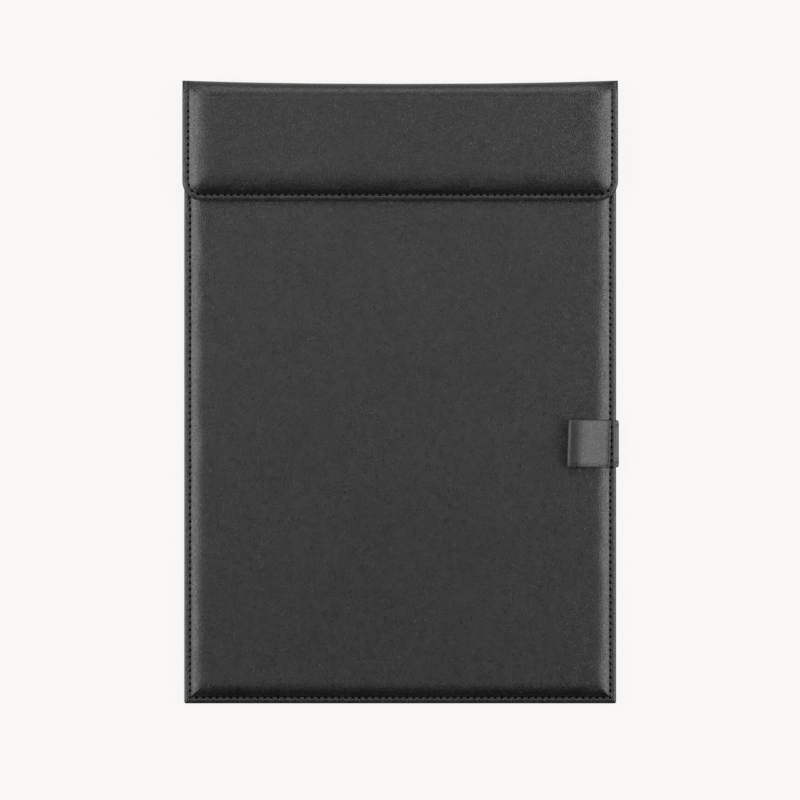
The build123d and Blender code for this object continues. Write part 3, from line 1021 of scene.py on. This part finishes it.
class FOLDER_OT_stage(bpy.types.Operator):
    """Sets up the pale floor, the soft lights and the camera straight above"""

    bl_idname = "folder.stage"
    bl_label = "Stage"

    def execute(self, context):
        scene = context.scene
        colours = scene.folder_colours
        floor_mesh = bmesh.new()
        bmesh.ops.create_grid(floor_mesh, x_segments=1, y_segments=1, size=6.0)
        bmesh.ops.translate(floor_mesh, verts=floor_mesh.verts[:], vec=(0, 0, -0.0002))
        material, tree, _ = blank_material("pale_studio_floor")
        path = node(tree, "ShaderNodeLightPath")
        seen = node(
            tree, "ShaderNodeMath", {"operation": "MAXIMUM"},
            {0: path.outputs["Is Camera Ray"], 1: path.outputs["Is Glossy Ray"]},
        )
        seen = node(
            tree, "ShaderNodeMath", {"operation": "MAXIMUM"},
            {0: seen.outputs["Value"], 1: path.outputs["Is Transmission Ray"]},
        )
        share = node(tree, "ShaderNodeMath", {"operation": "MULTIPLY", 1: 0.965}, {0: seen.outputs["Value"]})
        paper = node(tree, "ShaderNodeBsdfDiffuse", {"Color": (*colours.background, 1)})
        glow = node(tree, "ShaderNodeEmission", {"Color": (*colours.background, 1), "Strength": 0.95})
        mixed = node(
            tree, "ShaderNodeMixShader",
            links={0: share.outputs["Value"], 1: paper.outputs["BSDF"], 2: glow.outputs[0]},
        )
        finish_material(tree, mixed.outputs["Shader"])
        new_piece("studio_floor", floor_mesh, material)

        world = bpy.data.worlds.new("dim_studio_room")
        world.use_nodes = True
        tree = world.node_tree
        tree.nodes.clear()
        path = node(tree, "ShaderNodeLightPath")
        room = node(tree, "ShaderNodeBackground", {"Color": (0.9, 0.95, 1.0, 1), "Strength": 0.06})
        pale = node(tree, "ShaderNodeBackground", {"Color": (*colours.background, 1), "Strength": 1.0})
        mixed = node(
            tree, "ShaderNodeMixShader",
            links={0: path.outputs["Is Camera Ray"], 1: room.outputs[0], 2: pale.outputs[0]},
        )
        node(tree, "ShaderNodeOutputWorld", links={"Surface": mixed.outputs["Shader"]})
        scene.world = world
        scene.view_settings.view_transform = "Standard"

        soft_box("overhead_soft_box", (0.1, 0.86, 3.4), (0.1, 0.85, 0), (3.0, 2.0), 15)
        soft_box("left_soft_box", (-1.5, 0.1, 1.0), (0, 0, 0), (1.4, 1.8), 47)
        soft_box("right_soft_box", (1.5, 0.1, 1.0), (0, 0, 0), (1.4, 1.8), 48)
        soft_box("far_soft_box", (0, 1.7, 1.3), (0, 0, 0), (1.8, 1.2), 27)

        lens = bpy.data.cameras.new("overhead_camera")
        lens.sensor_width = SENSOR_WIDTH
        lens.lens = SENSOR_WIDTH * (CAMERA_HEIGHT - BOARD_TOP_Z * MM) / VIEW_WIDTH
        lens.clip_end = 20
        camera = bpy.data.objects.new("overhead_camera", lens)
        camera.location = (*VIEW_CENTRE, CAMERA_HEIGHT)
        scene.collection.objects.link(camera)
        scene.camera = camera
        return {"FINISHED"}


class FOLDER_PT_panel(bpy.types.Panel):
    """Lists the folder's sizes and colours, and the buttons of the steps that make its pieces"""

    bl_label = "Conference Folder"
    bl_idname = "FOLDER_PT_panel"
    bl_space_type = "VIEW_3D"
    bl_region_type = "UI"
    bl_category = "Folder"

    def draw(self, context):
        scene = context.scene
        for group in (scene.folder_sizes, scene.folder_colours):
            box = self.layout.box()
            for key in group.bl_rna.properties.keys():
                if key not in ("rna_type", "name"):
                    box.prop(group, key)
        for operator in OPERATORS:
            self.layout.operator(operator.bl_idname)


OPERATORS = (
    FOLDER_OT_stage,
    FOLDER_OT_outer_leather,
    FOLDER_OT_inner_leather,
    FOLDER_OT_seams,
    FOLDER_OT_pen_loop,
    FOLDER_OT_inner_parts,
)
CLASSES = (FolderSizes, FolderColours, *OPERATORS, FOLDER_PT_panel)


def register():
    for cls in CLASSES:
        bpy.utils.register_class(cls)
    bpy.types.Scene.folder_sizes = bpy.props.PointerProperty(type=FolderSizes)
    bpy.types.Scene.folder_colours = bpy.props.PointerProperty(type=FolderColours)


def unregister():
    del bpy.types.Scene.folder_colours
    del bpy.types.Scene.folder_sizes
    for cls in reversed(CLASSES):
        bpy.utils.unregister_class(cls)


def main():
    register()
    bpy.ops.folder.stage()
    bpy.ops.folder.outer_leather()
    bpy.ops.folder.inner_leather()
    bpy.ops.folder.seams()
    bpy.ops.folder.pen_loop()
    bpy.ops.folder.inner_parts()


if __name__ == "__main__":
    main()
